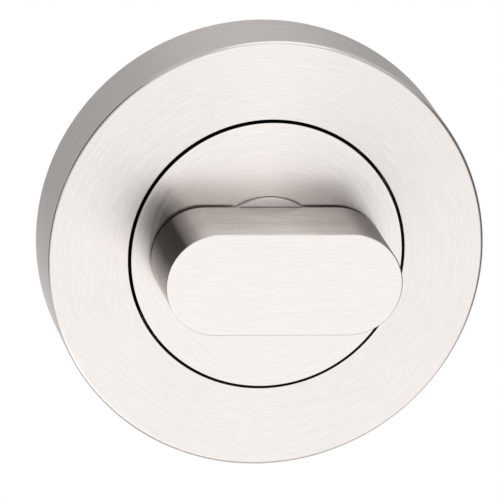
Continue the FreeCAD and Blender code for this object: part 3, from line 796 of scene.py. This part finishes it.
def thread_ridge(name, sizes, across, steps=32):
    """Helical ridge that fades out at its start and runs down to the screw's point."""
    least, bite, half_crest, short_of_tip = 0.05 * MM, 0.15 * MM, 0.04 * MM, 0.8 * MM
    fade, blunt = 0.12, 0.05
    shape = bmesh.new()
    turns = (sizes.tip - short_of_tip - sizes.thread_start) / sizes.pitch
    base = sizes.thread_base * sizes.pitch
    rings = []
    for step in range(int(turns * steps) + 1):
        angle = FULL_TURN * step / steps
        depth = sizes.thread_start + sizes.pitch * step / steps
        taper = min(1.0, max(0.0, (sizes.tip - depth) / sizes.point))
        root = sizes.core_radius * taper - bite
        crest = sizes.thread_radius * min(1.0, taper + blunt)
        crest = root + (crest - root) * min(1.0, step / steps + fade)
        ring = []
        for radius, shift in ((root, -base), (crest, -half_crest), (crest, half_crest),
                              (root, base)):
            radius = max(radius, least)
            ring.append(shape.verts.new((across + radius * math.cos(angle), depth + shift,
                                         radius * math.sin(angle))))
        rings.append(ring)
    for one, other in zip(rings, rings[1:]):
        join_rings(shape, one, other)
    shape.faces.new(rings[0])
    shape.faces.new(rings[-1])
    return mesh_object(name, shape)


class THUMBTURN_OT_dress_inner_parts(Operator):
    """Gives the plate, bush, washer, cam, ring, spindle and pin their materials"""

    bl_idname = "thumbturn.dress_inner_parts"
    bl_label = "Inner Parts"

    def execute(self, context):
        finishes = settings().finishes
        dress_node("base_plate", plain_metal("Cast Zinc", finishes.zinc, 0.5, 1.4, mottle=0.16))
        dress_node("neck_bush", moulded_plastic("Acetal", finishes.acetal))
        spring = plain_metal("Spring Steel", finishes.spring, 0.38, 2.5)
        for node in ("spring_washer", "retaining_ring", "spindle_pin"):
            dress_node(node, spring)
        dress_node("stop_cam", plain_metal("Pressed Steel", finishes.plated, 0.35, 2.0))
        drawn = plain_metal("Drawn Plated Steel", finishes.plated, 0.34, 3.0, (1, 0.08, 1))
        dress_node("spindle", drawn)
        return {"FINISHED"}


class THUMBTURN_OT_build_stage(Operator):
    """Places the camera, the world that lights the object, and the floor"""

    bl_idname = "thumbturn.build_stage"
    bl_label = "Stage"

    def execute(self, context):
        stage = settings().stage
        context.scene.view_settings.view_transform = "Standard"
        place_camera(context.scene, stage)
        light_world(context.scene, stage)
        add_floor(stage)
        return {"FINISHED"}


def place_camera(scene, stage):
    """Camera at a distance from the rose's face, with its angles and its roll."""
    rose = settings().rose
    target = Vector((0, -rose.depth, 0))
    back = Vector((math.sin(stage.azimuth) * math.cos(stage.elevation),
                   -math.cos(stage.azimuth) * math.cos(stage.elevation),
                   math.sin(stage.elevation)))
    level = Vector((0, 0, 1)).cross(back).normalized()
    upright = back.cross(level)
    right = level * math.cos(stage.roll) + upright * math.sin(stage.roll)
    up = upright * math.cos(stage.roll) - level * math.sin(stage.roll)
    camera_data = bpy.data.cameras.new("Camera")
    camera_data.lens = stage.focal_length
    camera_data.sensor_width = 36
    camera_data.shift_x = stage.shift_across
    camera_data.shift_y = stage.shift_up
    camera_data.clip_start = 0.01
    camera_data.clip_end = 20
    camera = bpy.data.objects.new("Camera", camera_data)
    place = target + back * stage.distance
    camera.matrix_world = Matrix((
        (right.x, up.x, back.x, place.x),
        (right.y, up.y, back.y, place.y),
        (right.z, up.z, back.z, place.z),
        (0, 0, 0, 1),
    ))
    scene.collection.objects.link(camera)
    scene.camera = camera


def light_world(scene, stage):
    """Studio seen in the metal: a level in front and one behind, with soft boxes and flags.

    The camera itself sees plain white.
    """
    world = bpy.data.worlds.new("Studio")
    world.use_nodes = True
    scene.world = world
    sheet = NodeSheet(world.node_tree)
    towards = sheet.add("ShaderNodeTexCoord").outputs["Generated"]
    depth = sheet.parts(towards)[1]
    level = sheet.remap(depth, -0.5, 0.5, stage.front_light, stage.back_light, "SMOOTHSTEP")
    for place, core, rim, strength in CARDS:
        middle = Vector(place).normalized()
        near = sheet.vector("DOT_PRODUCT", towards, middle, output=1)
        cover = sheet.remap(near, math.cos(math.radians(rim)), math.cos(math.radians(core)),
                            kind="SMOOTHSTEP")
        level = sheet.add("ShaderNodeMix", {0: cover, 2: level, 3: strength}).outputs[0]
    studio = sheet.add("ShaderNodeBackground", {0: (1, 1, 1, 1), 1: level})
    white = sheet.add("ShaderNodeBackground", {0: (1, 1, 1, 1), 1: 1.0})
    camera_ray = sheet.add("ShaderNodeLightPath").outputs["Is Camera Ray"]
    mix = sheet.add("ShaderNodeMixShader", {0: camera_ray, 1: studio.outputs[0],
                                            2: white.outputs[0]})
    sheet.add("ShaderNodeOutputWorld", {0: mix.outputs[0]})


def add_floor(stage):
    """Round floor well below the object."""
    floor = lathe("floor", [(0, 0), (stage.floor_radius, 0)], 96, closed=False)
    floor.data.transform(Matrix.Translation((0, 0, -stage.floor_drop))
                         @ Matrix.Rotation(math.radians(-90), 4, "X"))
    material, sheet = new_material("Floor")
    patch = sheet.noise(millimetres(sheet), 0.02, 2.0)
    shade = sheet.blend_colour(patch, rgba(stage.floor, 0.99), rgba(stage.floor, 1.01))
    sheet.surface({"Base Color": shade, "Roughness": 0.9})
    floor.data.materials.append(material)


class THUMBTURN_PT_sidebar(Panel):
    """Lists the steps that build the thumb turn"""

    bl_idname = "THUMBTURN_PT_sidebar"
    bl_label = "Thumb Turn"
    bl_space_type = "VIEW_3D"
    bl_region_type = "UI"
    bl_category = "Thumb Turn"

    def draw(self, context):
        for operator in OPERATORS:
            self.layout.operator(operator.bl_idname)


class ThumbTurnSettings(PropertyGroup):
    """All settings of the thumb turn."""

    rose: PointerProperty(type=RoseSizes)
    turn: PointerProperty(type=TurnSizes)
    fixings: PointerProperty(type=FixingSizes)
    finishes: PointerProperty(type=Finishes)
    stage: PointerProperty(type=StageSettings)


OPERATORS = (
    THUMBTURN_OT_build_cover,
    THUMBTURN_OT_build_disc,
    THUMBTURN_OT_build_turn,
    THUMBTURN_OT_build_fixings,
    THUMBTURN_OT_dress_inner_parts,
    THUMBTURN_OT_build_stage,
)
CLASSES = (RoseSizes, TurnSizes, FixingSizes, Finishes, StageSettings, ThumbTurnSettings,
           *OPERATORS, THUMBTURN_PT_sidebar)


def register():
    for item in CLASSES:
        bpy.utils.register_class(item)
    bpy.types.Scene.thumb_turn = PointerProperty(type=ThumbTurnSettings)


def unregister():
    del bpy.types.Scene.thumb_turn
    for item in reversed(CLASSES):
        bpy.utils.unregister_class(item)


def main():
    register()
    for operator in OPERATORS:
        group, action = operator.bl_idname.split(".")
        getattr(getattr(bpy.ops, group), action)()


if __name__ == "__main__":
    main()
